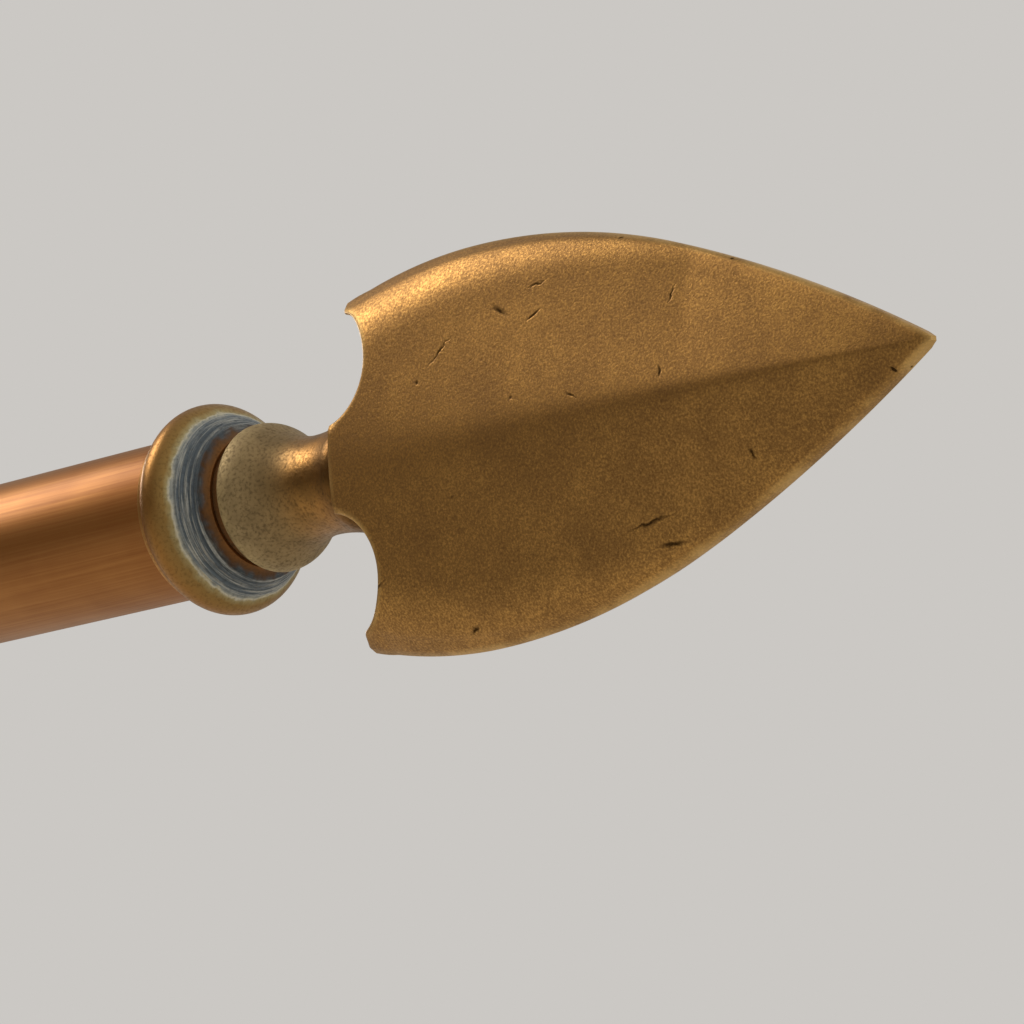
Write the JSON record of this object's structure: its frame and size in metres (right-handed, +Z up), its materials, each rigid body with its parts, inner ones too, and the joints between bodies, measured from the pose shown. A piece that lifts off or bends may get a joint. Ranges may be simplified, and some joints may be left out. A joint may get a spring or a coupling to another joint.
{
  "type": "curtain pole",
  "caption": "Brass and bronze curtain pole with cast spearhead finials that unscrew, carried through the rings of turned wall brackets with clamp screws.",
  "frame": {"origin": "on the wall plane, midway between the brackets and level with the pole's centre line", "axes": "+X along the pole to the right as seen from the room, +Y into the wall, +Z up"},
  "size_m": [1.0842, 0.1041, 0.0643],
  "materials": {
    "bronzed_tube": "satin copper-bronze plating",
    "cast_brass": "aged casting, speckled and lightly scratched",
    "turned_brass": "aged, turned, oxide in the grooves",
    "bracket_brass": "aged satin",
    "turned_steel": "machined",
    "zinc_plate": "zinc plated",
    "nylon": "natural"
  },
  "bodies": {
    "brackets": {"right_wall_plate": "zinc_plate", "right_rose": "bracket_brass", "right_arm_stud": "turned_steel", "right_arm": "bracket_brass", "right_pole_ring": "bracket_brass", "left_wall_plate": "zinc_plate", "left_rose": "bracket_brass", "left_arm_stud": "turned_steel", "left_arm": "bracket_brass", "left_pole_ring": "bracket_brass"},
    "pole": {"pole_tube": "bronzed_tube", "right_end_plug": "turned_steel", "left_end_plug": "turned_steel"},
    "right_washer": {"right_spring_washer": "turned_steel"},
    "right_finial": {"right_stud": "turned_steel", "right_collar": "turned_brass", "right_neck": "turned_brass", "right_blade": "cast_brass"},
    "right_pad": {"right_clamp_pad": "nylon"},
    "right_thumbscrew": {"right_clamp_screw": "bracket_brass"},
    "left_washer": {"left_spring_washer": "turned_steel"},
    "left_finial": {"left_stud": "turned_steel", "left_collar": "turned_brass", "left_neck": "turned_brass", "left_blade": "cast_brass"},
    "left_pad": {"left_clamp_pad": "nylon"},
    "left_thumbscrew": {"left_clamp_screw": "bracket_brass"}
  },
  "joints": [
    {"name": "pole_slide", "type": "slide", "parent": "brackets", "child": "pole", "axis": [1, 0, 0], "range_m": [-0.07, 0.07]},
    {"name": "right_finial_travel", "type": "slide", "parent": "pole", "child": "right_washer", "axis": [1, 0, 0], "range_m": [0, 0.012]},
    {"name": "right_finial_turn", "type": "hinge", "parent": "right_washer", "child": "right_finial", "pos_m": [0.397, -0.085, 0], "axis": [1, 0, 0], "range_deg": [0, 3456]},
    {"name": "right_clamp_travel", "type": "slide", "parent": "brackets", "child": "right_pad", "axis": [0, 0, -1], "range_m": [0, 0.003]},
    {"name": "right_clamp_turn", "type": "hinge", "parent": "right_pad", "child": "right_thumbscrew", "pos_m": [0.21, -0.085, -0.0142], "axis": [0, 0, -1], "range_deg": [0, 1350]},
    {"name": "left_finial_travel", "type": "slide", "parent": "pole", "child": "left_washer", "axis": [-1, 0, 0], "range_m": [0, 0.012]},
    {"name": "left_finial_turn", "type": "hinge", "parent": "left_washer", "child": "left_finial", "pos_m": [-0.397, -0.085, 0], "axis": [-1, 0, 0], "range_deg": [0, 3456]},
    {"name": "left_clamp_travel", "type": "slide", "parent": "brackets", "child": "left_pad", "axis": [0, 0, -1], "range_m": [0, 0.003]},
    {"name": "left_clamp_turn", "type": "hinge", "parent": "left_pad", "child": "left_thumbscrew", "pos_m": [-0.21, -0.085, -0.0142], "axis": [0, 0, -1], "range_deg": [0, 1350]}
  ],
  "couplings": [
    {"joint": "right_finial_travel", "follows": "right_finial_turn", "m_per_rad": 0.00019894},
    {"joint": "right_clamp_travel", "follows": "right_clamp_turn", "m_per_rad": 0.00012732},
    {"joint": "left_finial_travel", "follows": "left_finial_turn", "m_per_rad": 0.00019894},
    {"joint": "left_clamp_travel", "follows": "left_clamp_turn", "m_per_rad": 0.00012732}
  ]
}
